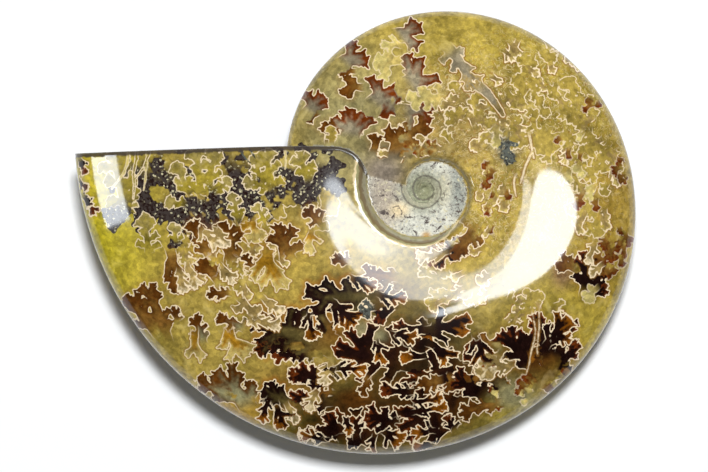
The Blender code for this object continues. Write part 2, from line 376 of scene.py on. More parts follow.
FRONT_LEAVES = leaf_rows((
    ("gold", "hand", (
        (-18, -2.5, -17.2, -11, 3.2), (-26.2, -17.8, -24.8, -26, 2.7), (-33, -18.5, -32.6, -25.6, 2.2),
        (-8.9, 1, -9.8, -3.9, 1.4),
    )),
    ("gold", "frond", ((-21, 3.5, -20, -1.5, 1.6),)),
    ("cream", "hand", (
        (-34.6, -5.5, -32.8, -11, 1.2), (-36, -6.5, -34.9, -12, 1.1), (-32, 1.6, -28.9, -3.5, 1.4),
        (-28.9, 2.3, -26.8, -3.1, 1), (-28, -6, -24, -9, 1.4),
    )),
    ("cream", "frond", ((-24, -12.5, -20.5, -17.5, 1.8),)),
    ("cream", "hand", (
        (-19.5, -12.5, -15, -16, 1.3), (-22, -17, -16, -20, 1.3),
    )),
    ("amber", "hand", (
        (-9.4, -15.8, -9.5, -21.6, 1.5), (-5.5, -13.5, 0.5, -17.8, 2.1), (3.9, -21, 5.5, -26.3, 1.4),
        (6.5, -20.3, 12.1, -21.3, 1.6), (14.5, -24.8, 9.4, -25.4, 1.6), (4, -12.2, 9.5, -14.5, 1.5),
        (-17.5, -33.2, -20, -38.5, 1.1), (-16.6, -34, -14.3, -39.7, 1.9), (3.9, -40.8, 2.9, -45, 1.3),
        (5.5, -40.4, 8.5, -43.8, 1.5), (4.5, -40.4, 10, -41.8, 0.9), (-2.1, -37.5, -1.8, -41.2, 0.8),
        (10, -34.5, 17.5, -34.2, 1.2), (11, -36.7, 18.5, -36, 1.2), (16.5, -40.4, 11.5, -40.8, 1.3),
        (16.5, -43.5, 11.7, -43.8, 1.2), (-5, -42.5, -11.5, -42, 1.4), (13.5, -20, 22.8, -18.6, 2.6),
        (14, -22, 20.3, -24.5, 2.2), (16, -18, 14.5, -22, 1.4), (24, -20, 27, -27.5, 2),
    )),
    ("cream", "frond", ((30, -24, 25.5, -29, 1.6),)),
    ("cream", "hand", (
        (33, -26.5, 27, -28.5, 1.2), (-5, -26, -7, -30.5, 1.2), (-7.5, -31.5, -10.5, -35.5, 1.2),
        (-14.5, -34.2, -11.9, -38.3, 1.1),
    )),
    ("amber", "hand", (
        (-6, -27.5, 2, -27.6, 1.4), (38.5, -23.5, 43.5, -17.5, 2.3), (39.5, -21, 44, -21.8, 1.2),
    )),
    ("cream", "hand", (
        (49, -1.4, 47.2, -6, 0.9), (51, -6, 48, -8.4, 0.8),
    )),
    ("straw", "frond", (
        (50, -10.7, 46.5, -13, 1.2), (19.2, 27.9, 10.8, 27, 1.6),
    )),
    ("straw", "hand", ((10, 38, 5.5, 39.2, 1.4),)),
    ("straw", "frond", ((10, 35.5, 3.9, 34.2, 1.9),)),
    ("island", "frond", ((4.2, -15, 0.9, -16, 1.2),)),
    ("cream", "hand", ((19.5, -3.5, 12.7, -6, 1.3),)),
    ("amber", "hand", ((-2, -8.6, 4, -10.7, 1.5),)),
    ("faint", "frond", ((-5, 18, -4.9, 21.5, 0.7),)),
    ("scar", "spiky", ((18, 38.6, 25, 30.5, 1.9),)),
    ("scar", "crack", ((24, 30.6, 30.6, 24.6, 1.15),)),
    ("blue", "hand", ((30.4, 20.6, 31, 14.4, 1.5),)),
    ("straw", "spiky", ((28.6, 22.5, 28.2, 17.5, 1.1),)),
    ("crack", "crack", (
        (35.2, 21, 34.8, 15.2, 0.2), (36.4, 17.4, 31.9, 10.9, 0.18), (33, 12.5, 29.5, 8.5, 0.14),
        (35.6, -14.5, 38.1, -28.5, 0.08), (37.4, -13.5, 36.8, -25, 0.06),
    )),
    ("straw", "crack", ((-14.4, 18, -14.2, 12.9, 0.22),)),
    ("blue", "crack", (
        (-23.5, 18, -23.1, 13.3, 0.25), (-21.8, 18, -21.6, 14.6, 0.2),
    )),
    ("straw", "crack", ((-46, 20, -44.6, 8, 0.35),)),
    ("olive", "crack", ((-44.3, 20, -43.2, 7, 0.4),)),
    ("straw", "crack", ((-42.8, 20, -42.4, 8.6, 0.3),)),
    ("olive", "crack", ((-41.3, 20, -41.5, 10, 0.35),)),
))
LEAF_LAYERS = (BACK_LEAVES, MIDDLE_LEAVES, FRONT_LEAVES)

# Patches of small scattered leaves: layer, middle x and y, reach x and y, how many, length and half breadth
# in mm, heading in degrees and the styles they take in turn
SCATTER = (
    (0, 37.0, 30.0, 11.0, 12.0, 60, 3.0, 0.9, -50.0, ("faint", "faint", "froth")),
    (0, 47.0, 14.0, 6.0, 14.0, 46, 3.2, 0.9, -95.0, ("faint", "froth", "faint")),
    (1, 47.0, 16.0, 6.0, 12.0, 14, 2.4, 0.6, -100.0, ("rusty", "straw")),
    (0, 25.0, 23.0, 7.0, 7.0, 34, 2.6, 0.7, 160.0, ("faint", "froth")),
    (1, 28.0, 6.0, 3.0, 9.0, 16, 2.0, 0.5, -120.0, ("rusty", "froth")),
    (1, 12.0, 16.5, 6.0, 2.0, 16, 2.0, 0.6, 150.0, ("rusty", "froth")),
    (0, 20.0, -3.0, 7.0, 2.5, 26, 2.2, 0.6, 200.0, ("rusty", "froth", "froth")),
    (0, 35.0, -16.0, 8.0, 3.0, 14, 2.6, 0.6, 60.0, ("faint", "froth")),
    (0, -27.0, -3.0, 12.0, 8.0, 40, 2.6, 0.7, -80.0, ("froth", "faint")),
    (0, -33.5, 5.5, 4.0, 3.0, 16, 2.4, 0.5, -70.0, ("froth",)),
    (1, 40.0, -30.0, 5.0, 2.6, 12, 2.2, 0.5, 160.0, ("rusty", "faint")),
    (1, 48.6, 27.8, 1.0, 1.6, 3, 1.8, 0.8, -90.0, ("rusty",)),
    (1, 54.3, 13.5, 1.0, 3.4, 5, 1.8, 0.8, -90.0, ("rusty",)),
    (1, 52.6, -1.0, 3.0, 6.0, 16, 2.4, 0.9, -100.0, ("rusty",)),
    (0, 22.0, -10.0, 8.0, 4.0, 14, 3.0, 0.9, 200.0, ("faint", "froth")),
    (1, 32.5, -33.2, 4.0, 3.0, 14, 1.6, 0.5, 180.0, ("rusty", "straw")),
)

# Ground zones: middle x and y, reach x and y in mm, colour, strength. Later zones lie over earlier ones.
GROUND_ZONES = (
    (-54.0, -12.0, 14.0, 34.0, YELLOW, 0.9),
    (-33.0, -18.0, 22.0, 16.0, HONEY, 0.7),
    (-28.0, -40.0, 14.0, 8.0, GOLD, 0.6),
    (-10.0, -42.0, 14.0, 5.0, OLIVE, 0.8),
    (38.0, -25.0, 8.0, 7.0, BROWN, 0.8),
    (47.5, -9.5, 4.0, 4.5, BROWN, 0.7),
    (-13.0, -32.0, 9.0, 5.5, DARK_AMBER, 0.7),
    (-14.0, -19.0, 8.0, 5.0, DARK_AMBER, 0.6),
    (-22.0, -2.0, 12.0, 6.0, GOLD, 0.45),
    (1.4, -12.1, 11.0, 4.0, BROWN, 0.9),
    (37.0, -16.0, 7.0, 5.0, OLIVE, 0.6),
    (10.0, -22.3, 17.0, 7.5, BLACK_BROWN, 1.0),
    (17.2, -32.1, 18.0, 10.0, BLACK_BROWN, 1.0),
    (0.4, -38.5, 16.0, 8.0, BLACK_BROWN, 1.0),
    (-0.6, -33.6, 4.0, 2.0, BROWN, 0.8),
    (-8.5, -19.5, 7.0, 3.2, AMBER, 0.7),
    (2.4, -20.1, 4.0, 2.3, GREEN_GREY, 0.9),
    (20.9, -24.0, 4.6, 3.0, OLIVE_GREY, 0.9),
    (35.0, -39.0, 10.0, 6.0, OLIVE, 0.9),
    (36.5, -24.5, 5.0, 3.0, AMBER, 0.7),
    (-1.0, 22.0, 12.0, 16.0, GREEN_GREY, 0.7),
    (24.0, 40.0, 18.0, 8.0, YELLOW, 0.1),
    (44.0, 26.0, 14.0, 18.0, OLIVE, 0.4),
    (20.0, 22.0, 14.0, 10.0, TAN, 0.6),
    (50.0, -16.0, 9.0, 18.0, YELLOW, 0.2),
    (51.0, 2.0, 8.0, 16.0, GOLD, 0.35),
    (5.5, 12.2, 5.0, 4.2, MUD, 1.0),
    (8.5, 15.6, 3.6, 1.0, MUD_DARK, 0.6),
    (9.5, 17.4, 8.0, 1.6, MUD_DARK, 0.7),
    (24.4, 27.4, 1.6, 2.6, PALE_GREY, 0.8),
    (27.8, 26.5, 1.0, 1.6, PALE, 0.8),
    (30.6, 17.2, 2.2, 3.2, SLATE, 0.95),
    (28.4, 19.6, 1.6, 2.4, PALE, 0.8),
    (33.2, 17.8, 0.9, 2.0, TAN, 0.8),
    (32.5, -33.2, 4.0, 3.0, GREEN_GREY, 0.9),
    (42.0, -8.0, 2.4, 3.4, PINK_BROWN, 0.8),
)
MATRIX_ZONES = (
    (5.7, 7.5, 4.0, 8.0, MUD, 0.9),
    (7.0, 15.0, 6.0, 2.6, MUD_DARK, 0.4),
    (20.8, 8.8, 2.2, 6.5, BLUE_GREY, 0.8),
    (18.0, 9.0, 1.4, 3.4, CHALK, 0.95),
    (13.5, 8.6, 4.6, 4.6, DISC_GREEN, 1.0),
    (8.8, 4.7, 2.0, 1.6, CREAM, 0.95),
    (14.3, -0.4, 0.9, 0.7, GOLD, 0.9),
)
# Zones of strength alone: middle, reach and strength
PLAIN_ZONES = ((13.5, 8.6, 4.3, 4.3, 0.85),)
FROTH_ZONES = ((38.0, 20.0, 18.0, 24.0, 0.6), (22.0, 26.0, 12.0, 10.0, 0.6), (28.0, 5.0, 6.0, 10.0, 0.6))


def smooth_through(xs, ys, x):
    """Cubic curve through the points (xs, ys), with each slope taken from the neighbours."""
    slopes = np.gradient(ys, xs)
    left = np.clip(np.searchsorted(xs, x) - 1, 0, len(xs) - 2)
    step = xs[left + 1] - xs[left]
    u = (x - xs[left]) / step
    return (
        (2 * u**3 - 3 * u**2 + 1) * ys[left]
        + (u**3 - 2 * u**2 + u) * step * slopes[left]
        + (3 * u**2 - 2 * u**3) * ys[left + 1]
        + (u**3 - u**2) * step * slopes[left + 1]
    )


def venter_radius(angle):
    """Pole to outer edge of the coil."""
    return TIP_RADIUS * np.exp(-COIL_RATE * (angle - TIP_ANGLE))


def seam_radius(angle):
    """Umbilicus centre to the seam where this whorl's wall meets the whorl beneath."""
    quarters = QUARTER_TURN * np.arange(len(RIM_RADII))
    curve = np.exp(smooth_through(quarters, np.log(RIM_RADII), np.minimum(angle, quarters[-1])))
    inner = np.exp(-COIL_RATE * np.maximum(angle - quarters[-1], 0.0))
    return SEAM_TO_RIM * curve * inner


def lean(radius):
    """Angle by which a row trails behind, so that row 0 follows the cut and its rounded corner."""
    straight = CUT_HEIGHT + CUT_RISE * (TIP_RADIUS - radius)
    past_corner = np.clip((radius - CORNER_START) / (CORNER_END - CORNER_START), 0.0, 1.0)
    share = 1.0 - (1.0 - past_corner) ** CORNER_POWER
    height = (1.0 - share) * CORNER_LEAN * radius + share * straight
    return np.arcsin(height / np.maximum(radius, TINY))


def settle(guide, row_angle):
    """Radius at which the leaning row meets a guide curve."""
    radius = guide(row_angle)
    for _ in range(SETTLING_STEPS):
        radius = guide(row_angle - lean(radius))
    return radius


def half_thickness(angle):
    """Greatest half thickness of the whorl, thinning inwards along the shell."""
    outer = np.minimum(angle, TURN)
    return HALF_THICKNESS * np.exp(-OUTER_THINNING * outer - INNER_THINNING * (angle - outer))


def section_height(row_angle, across, width, seam_height):
    """Height above the middle plane at a share across the whorl: 0 at the seam, 1 at the venter."""
    crest = half_thickness(row_angle)
    keel = VENTER_RADIUS * np.exp(-COIL_RATE * row_angle)
    place = np.clip(across, SHOULDER_AT, 1.0)
    fall = np.maximum(place - CREST_AT, 0.0) / (1.0 - CREST_AT)
    dip = np.maximum(CREST_AT - place, 0.0) / CREST_AT
    flank = np.maximum(1.0 - fall**FLANK_POWER, 0.0) ** TAPER_POWER * (1.0 - SHOULDER_DIP * dip**2)
    edge_distance = np.minimum((1.0 - place) * width / keel, 1.0)
    rounding = np.sqrt(1.0 - (1.0 - edge_distance) ** 2)
    height = (crest - keel) * flank + keel * rounding
    climb = 1.0 - (1.0 - np.clip(across / SHOULDER_AT, 0.0, 1.0)) ** WALL_POWER
    return seam_height + (height - seam_height) * climb


class Coil:
    """Seam, venter and seam height of every row, worked out from the innermost row outwards."""

    def __init__(self):
        self.rows = np.linspace(0.0, TURN * (TURNS + 1), TABLE_ROWS * (TURNS + 1) + 1)
        self.seams = settle(seam_radius, self.rows)
        self.venters = settle(venter_radius, self.rows)
        self.seam_heights = CENTRE_FILL * half_thickness(self.rows)
        for whorl in range(TURNS - 1, -1, -1):
            part = slice(whorl * TABLE_ROWS, (whorl + 1) * TABLE_ROWS + 1)
            radius, row = self.seams[part], self.rows[part] + TURN
            self.seam_heights[part] = self.height(radius, row)

    def seam(self, row):
        return np.interp(row, self.rows, self.seams)

    def venter(self, row):
        return np.interp(row, self.rows, self.venters)

    def height(self, radius, row):
        """Height above the middle plane on the whorl that this row belongs to."""
        seam = self.seam(row)
        width = self.venter(row) - seam
        seam_height = np.interp(row, self.rows, self.seam_heights)
        return section_height(row, (radius - seam) / width, width, seam_height)

    def exposed_row(self, radius, row):
        """Row of the whorl that shows at this radius: the outermost one whose seam lies inside it."""
        for _ in range(TURNS):
            row = np.where(radius < self.seam(row) - TINY, row + TURN, row)
        return row


COIL = Coil()


def flat_place(radius, angle):
    """Place about the pole, before the shift of the umbilicus."""
    return -radius * np.cos(angle), -radius * np.sin(angle)


def plan_place(radius, angle):
    """Place in plan of a point at this radius and coil angle."""
    x, y = flat_place(radius, angle)
    shift = np.exp(-((radius / SHIFT_REACH) ** 2))
    return x + shift * UMBILICUS_SHIFT_X, y + shift * UMBILICUS_SHIFT_Y


def outline_middle():
    """Middle of the outline's box in plan, which lay_down puts over the origin."""
    rows = np.linspace(0.0, TURN, TABLE_ROWS + 1)
    x, y = plan_place(COIL.venter(rows), rows - lean(COIL.venter(rows)))
    return (x.min() + x.max()) / 2.0, (y.min() + y.max()) / 2.0


MIDDLE = outline_middle()


def edge_drop(radius, row):
    """How far the polished rounding lowers the surface beside the cut."""
    cliff = COIL.height(radius, 0.0 * row) - np.where(
        radius < COIL.venter(TURN), COIL.height(radius, 0.0 * row + TURN), 0.0
    )
    size = np.minimum(CUT_EDGE, EDGE_SHARE * np.maximum(cliff, 0.0))
    distance = np.minimum(radius * row, size) / np.maximum(size, TINY)
    drop = size * (1.0 - np.sqrt(np.maximum(1.0 - (1.0 - distance) ** 2, 0.0)))
    return np.where((row < 1.0) & (radius > COIL.seam(0.0)), drop, 0.0)


def surface_height(radius, row):
    return COIL.height(radius, row) - edge_drop(radius, row)


def by_step(start, end, step, curve):
    """Row angles that cut a curve, given as its radius by row, into nearly equal steps."""
    dense = np.linspace(start, end, ARC_SAMPLES)
    arc = np.concatenate(([0.0], np.cumsum(np.diff(dense) * curve(dense)[1:])))
    count = max(int(arc[-1] / step), LEAST_STEPS)
    return np.interp(np.linspace(0.0, arc[-1], count + 1), arc, dense)


def near_outlines(x, y):
    """Mask of the points that lie beside the outline of a leaf."""
    points = Sorted(x - MIDDLE[0], y - MIDDLE[1])
    near = np.zeros(len(x), bool)
    for leaves in ALL_LEAVES:
        near |= np.abs(LeafLayer(points, leaves).distance) < FINE_REACH
    return near


def lattice(spacing, refine):
    """Triangular lattice over the whole outline, as radius and row of the whorl that shows.

    A refined one keeps all its points beside the outlines of the leaves and every fourth one elsewhere.
    """
    reach = TIP_RADIUS * LATTICE_MARGIN
    lines = int(2 * reach / (spacing * math.sin(math.pi / 3)))
    marks = int(2 * reach / spacing)
    column, line = np.meshgrid(np.arange(marks), np.arange(lines))
    x = (-reach + spacing * (column + 0.5 * (line % 2))).ravel()
    y = (-reach + spacing * math.sin(math.pi / 3) * line).ravel()
    if refine:
        wide = (line % 2 == 0) & (column % 2 == (line // 2) % 2)
        keep = wide.ravel() | near_outlines(x, y)
        x, y = x[keep], y[keep]
    radius = np.hypot(x, y)
    row = (np.arctan2(-y, -x) + lean(np.maximum(radius, CORNER_START * 0.5))) % TURN
    return radius, COIL.exposed_row(radius, row)


def side_points(spacing, edge_rows, cut_radii, refine):
    """Every point of one side: the closed outline first, then the structured lines, then the lattice."""
    tip, far_end = COIL.venter(0.0), COIL.venter(TURN)
    far_radii = cut_radii[(cut_radii < far_end - TINY) & (cut_radii > COIL.seam(0.0) + TINY)]
    keel = VENTER_RADIUS * np.exp(-COIL_RATE * edge_rows)
    outline = [(COIL.venter(edge_rows), edge_rows)]
    outline.append((far_radii[::-1], np.full(len(far_radii), TURN)))
    outline.append((cut_radii[:-1], np.zeros(len(cut_radii) - 1)))
    lines = []
    for angle in EDGE_ANGLES[1:]:
        depth = keel * (1.0 - math.cos(angle))
        inside = (edge_rows * COIL.venter(edge_rows) > CUT_OFFSETS[-1] * 1.5) & (edge_rows < TURN - END_ANGLE)
        lines.append(((COIL.venter(edge_rows) - depth)[inside], edge_rows[inside]))
    for offset in CUT_OFFSETS[1:]:
        lines.append((cut_radii[1:-1], offset / cut_radii[1:-1]))
    seam_rows = by_step(0.0, TURN * TURNS, max(SEAM_STEP, 0.7 * spacing), COIL.seam)[1:]
    lines.append((COIL.seam(seam_rows), seam_rows))
    radius, row = lattice(spacing, refine)
    gap = CLEARANCE * spacing
    keel = VENTER_RADIUS * np.exp(-COIL_RATE * np.minimum(row, TURN))
    keep = (row > TURN) | (radius < COIL.venter(row) - keel - gap * EDGE_GAP)
    past_cut = radius * (row % TURN)
    before_cut = radius * (TURN - row % TURN)
    outside = radius > COIL.seam(0.0) - gap
    keep &= ~(outside & (row < TURN) & (past_cut < CUT_OFFSETS[-1] + gap * EDGE_GAP))
    keep &= ~(outside & (row < TURN) & (before_cut < gap))
    keep &= np.abs(radius - COIL.seam(row)) > gap * SEAM_GAP
    next_row = row - TURN
    covered = next_row >= 0
    keep &= ~(covered & (np.abs(radius - COIL.seam(np.maximum(next_row, 0.0))) < gap * SEAM_GAP))
    lines.append((radius[keep], row[keep]))
    outline_count = sum(len(part[0]) for part in outline)
    parts = outline + lines
    return np.concatenate([p[0] for p in parts]), np.concatenate([p[1] for p in parts]), outline_count


def triangulate(radius, row, outline_count):
    """Triangles between the points, inside the outline. The two lips of the cut are held apart."""
    lip = (np.abs(row - TURN) < TINY) & (np.arange(len(row)) < outline_count)
    angle = row - lean(radius) - np.where(lip, SLIT_GAP / radius, 0.0)
    x, y = flat_place(radius, angle)
    points = [Vector(point) for point in zip(x / MM, y / MM)]
    edges = [(i, (i + 1) % outline_count) for i in range(outline_count)]
    _, _, faces, originals, _, _ = delaunay_2d_cdt(points, edges, [], 1, 1e-6)
    first = np.array([original[0] for original in originals])
    return first[np.array([face for face in faces if len(face) == 3])]


class Surface:
    """Points and triangles of the whole stone, with the radius, row and kind of every point."""

    def __init__(self):
        self.parts = []
        self.triangles = []
        self.count = 0

    def add(self, radius, row, height, side, wall, triangles):
        x, y = plan_place(radius, row - lean(radius))
        z = SLOPE_X * x + SLOPE_Y * y + side * height
        self.parts.append(np.stack([x, y, z, radius, row, 0 * x + side, 0 * x + wall]))
        triangles = triangles + self.count
        self.triangles.append(triangles if side > 0 else triangles[:, ::-1])
        self.count += len(radius)

    def welded(self):
        """Points that share a place become one; the first one made keeps its row and kind."""
        table = np.concatenate(self.parts, axis=1)
        keys = np.round(table[:3] / WELD_SIZE).astype(np.int64)
        _, first, inverse = np.unique(keys, axis=1, return_index=True, return_inverse=True)
        triangles = inverse.ravel()[np.concatenate(self.triangles)]
        sound = (triangles[:, 0] != triangles[:, 1]) & (triangles[:, 1] != triangles[:, 2])
        sound &= triangles[:, 0] != triangles[:, 2]
        return table[:, first], triangles[sound]


def add_cut_wall(surface, cut_radii, side):
    """Half of the flat cut: from the clasped whorl, or the middle plane, up to the rounded edge."""
    zero = 0.0 * cut_radii
    high = surface_height(cut_radii, zero)
    clasped = cut_radii < COIL.venter(TURN) + TINY
    low = np.where(clasped, COIL.height(cut_radii, zero + TURN), 0.0)
    low[cut_radii < COIL.seam(0.0) + TINY] = high[0]
    low[-1] = high[-1] = 0.0
    steps = np.array(WALL_STEPS)[:, None]
    heights = low + (high - low) * steps
    columns, layers = len(cut_radii), len(WALL_STEPS)
    index = np.arange(columns * layers).reshape(layers, columns)
    a, b = index[:-1, :-1].ravel(), index[:-1, 1:].ravel()
    c, d = index[1:, 1:].ravel(), index[1:, :-1].ravel()
    triangles = np.concatenate([np.stack([a, c, b], 1), np.stack([a, d, c], 1)])
    radius = np.tile(cut_radii, layers)
    surface.add(radius, 0.0 * radius, heights.ravel(), side, 1.0, triangles)


def stone_surface():
    edge_rows = by_step(0.0, TURN, EDGE_STEP, COIL.venter)
    inner_count = int((COIL.venter(TURN) - COIL.seam(0.0)) / CUT_STEP)
    outer_count = int((COIL.venter(0.0) - COIL.venter(TURN)) / CUT_STEP)
    inner = np.linspace(COIL.seam(0.0), COIL.venter(TURN), inner_count)
    outer = np.linspace(COIL.venter(TURN), COIL.venter(0.0), outer_count)
    cut_radii = np.concatenate([inner, outer[1:]])
    surface = Surface()
    for side, spacing in ((1.0, TOP_SPACING), (-1.0, BOTTOM_SPACING)):
        radius, row, outline_count = side_points(spacing, edge_rows, cut_radii, side > 0)
        triangles = triangulate(radius, row, outline_count)
        height = surface_height(radius, row)
        height[:len(edge_rows)] = 0.0
        surface.add(radius, row, height, side, 0.0, triangles)
        add_cut_wall(surface, cut_radii, side)
    return surface.welded()


def lay_down(points):
    """Lowest flank on the ground and ground flat, with the middle of the outline over the origin."""
    points[2] = np.maximum(points[2] - points[2].min() - GROUND_DEPTH, 0.0)
    for axis in (0, 1):
        points[axis] -= MIDDLE[axis]
    return points


def branch(parts, x, y, heading, length, start, end, bend, pieces, random):
    """Bent tapering capsules in a row. Returns the stations along them."""
    stations = [(x, y, heading)]
    for piece in range(pieces):
        heading += random.normal(0.0, bend)
        from_x, from_y = x, y
        x += math.cos(heading) * length / pieces
        y += math.sin(heading) * length / pieces
        stations.append((x, y, heading))
        near = start + (end - start) * piece / pieces
        far = start + (end - start) * (piece + 1) / pieces
        parts.append((from_x, from_y, x, y, near, far))
    return stations


def station(stations, share):
    place = share * (len(stations) - 1)
    index = min(int(place), len(stations) - 2)
    part = place - index
    (x0, y0, _), (x1, y1, heading) = stations[index], stations[index + 1]
    return x0 + (x1 - x0) * part, y0 + (y1 - y0) * part, heading


def lobe(parts, x, y, heading, reach, width, shape, random):
    """Lobe with small bumps or spikes along both sides."""
    neck, end, bump, out_turn = LOBE_HABITS[shape]
    ends = branch(parts, x, y, heading, reach, width * neck, width * end, LOBE_BEND, LOBE_PIECES, random)
    shares = (0.25, 0.6, 0.92) if reach > 4.2 * width else (0.5, 0.88) if reach > 2.4 * width else (0.8,)
    for side in (-1, 1):
        for share in shares:
            bump_x, bump_y, way = station(ends, share + random.uniform(*PLACE_RANGE))
            way += side * (out_turn + random.uniform(*TURN_RANGE))
            out = width * random.uniform(*BUMP_REACH)
            branch(parts, bump_x, bump_y, way, out, width * 0.55, width * bump, 0.0, 1, random)


def frond(parts, x, y, heading, length, breadth, shape, random):
    """Oak-like leaf: a spine with pairs of lobes that lean towards the tip, and three lobes at the tip."""
    width = min(max(0.3 * breadth, LOBE_LEAST), LOBE_MOST)
    thick, step, turn_out, reach_out = LEAF_HABITS[shape]
    spine = min(max(thick * breadth, SPINE_LEAST), SPINE_MOST)
    straight = max(length - 0.9 * breadth, 0.45 * length)
    root, tip = spine * ROOT_WIDTH, spine * TIP_WIDTH
    stations = branch(parts, x, y, heading, straight, root, tip, SPINE_BEND, SPINE_PIECES, random)
    pairs = max(int(straight / (step * width) + 0.5), 1)
    for pair in range(pairs):
        for side in (-1, 1):
            share = (pair + 0.6 + 0.2 * side + random.uniform(*PLACE_RANGE)) / pairs
            side_x, side_y, way = station(stations, min(share, 0.96))
            way += side * (turn_out + random.uniform(*TURN_RANGE))
            reach = breadth * (reach_out - 0.3 * share) * random.uniform(*LOBE_REACH)
            lobe(parts, side_x, side_y, way, reach, width, shape, random)
    for turn in (-0.85 * turn_out, 0.0, 0.85 * turn_out):
        way = stations[-1][2] + turn + random.normal(0.0, 0.1)
        reach = (length - straight) * random.uniform(*TIP_REACH)
        lobe(parts, *stations[-1][:2], way, reach, width, shape, random)


class Sorted:
    """The points to paint, sorted by x so that those near a capsule are found quickly."""

    def __init__(self, x, y):
        self.order = np.argsort(x, kind="stable")
        self.x, self.y = x[self.order], y[self.order]

    def near(self, low_x, high_x, low_y, high_y):
        part = slice(np.searchsorted(self.x, low_x), np.searchsorted(self.x, high_x))
        return np.flatnonzero((self.y[part] > low_y) & (self.y[part] < high_y)) + part.start


def crack(parts, x, y, heading, length, breadth, _, random):
    """Thin tapering line that wanders a little."""
    branch(parts, x, y, heading, length, breadth, 0.4 * breadth, CRACK_BEND, CRACK_PIECES, random)


def scattered_leaves():
    """Rows of small leaves for each layer, drawn at random inside the patches."""
    random = np.random.default_rng(SEED)
    layers = [[] for _ in LEAF_LAYERS]
    for layer, middle_x, middle_y, reach_x, reach_y, count, length, breadth, heading, styles in SCATTER:
        for number in range(count):
            away, turn = math.sqrt(random.uniform(0.0, 1.0)), random.uniform(0.0, TURN)
            x = middle_x + reach_x * away * math.cos(turn)
            y = middle_y + reach_y * away * math.sin(turn)
            way = math.radians(heading) + random.normal(0.0, SCATTER_BEND)
            size = random.uniform(*SCATTER_SIZES)
            tip_x, tip_y = x + size * length * math.cos(way), y + size * length * math.sin(way)
            shape = "hand" if number % 3 else "frond"
            layers[layer].append((styles[number % len(styles)], shape, x, y, tip_x, tip_y, size * breadth))
    return layers


def leaf_distance(points, parts):
    """Signed distance to one leaf, for the points near it: their numbers and the distances."""
    parts = np.array(parts)
    low_x, high_x = parts[:, [0, 2]].min() - LEAF_REACH, parts[:, [0, 2]].max() + LEAF_REACH
    low_y, high_y = parts[:, [1, 3]].min() - LEAF_REACH, parts[:, [1, 3]].max() + LEAF_REACH
    pick = points.near(low_x, high_x, low_y, high_y)
    x, y = points.x[pick], points.y[pick]
    total = np.full(len(pick), math.exp(-LEAF_REACH / BLEND))
    for x0, y0, x1, y1, near, far in parts:
        run_x, run_y = x1 - x0, y1 - y0
        share = np.clip(((x - x0) * run_x + (y - y0) * run_y) / (run_x**2 + run_y**2 + 1e-12), 0.0, 1.0)
        away = np.hypot(x - x0 - share * run_x, y - y0 - share * run_y) - (near + (far - near) * share)
        total += np.exp(-away / BLEND)
    return pick, -BLEND * np.log(total)


ALL_LEAVES = [extra + list(leaves) for extra, leaves in zip(scattered_leaves(), LEAF_LAYERS)]


class LeafLayer:
    """Leaves that merge where they touch: their distance, fade towards the root, and style by point."""

    def __init__(self, points, leaves):
        count = len(points.x)
        self.distance = np.full(count, LEAF_REACH)
        self.along = np.zeros(count)
        self.style = np.zeros((count, len(STYLES["faint"])))
        for number, (style, shape, root_x, root_y, tip_x, tip_y, breadth) in enumerate(leaves):
            random = np.random.default_rng(SEED * SEED_STEP + number)
            run_x, run_y = (tip_x - root_x) * MM, (tip_y - root_y) * MM
            length = math.hypot(run_x, run_y)
            parts = []
            heading, breadth = math.atan2(run_y, run_x), LEAF_GAIN[shape] * breadth * MM
            grow = crack if shape == "crack" else frond
            grow(parts, root_x * MM, root_y * MM, heading, length, breadth, shape, random)
            pick, distance = leaf_distance(points, parts)
            past_x, past_y = points.x[pick] - root_x * MM, points.y[pick] - root_y * MM
            along = (past_x * run_x + past_y * run_y) / length**2
            nearer = distance < self.distance[pick]
            pick, along = pick[nearer], along[nearer]
            self.distance[pick] = distance[nearer]
            self.along[pick] = np.clip(along, 0.0, 1.0)
            self.style[pick] = STYLES[style]
        back = np.argsort(points.order)
        self.distance, self.along, self.style = self.distance[back], self.along[back], self.style[back]


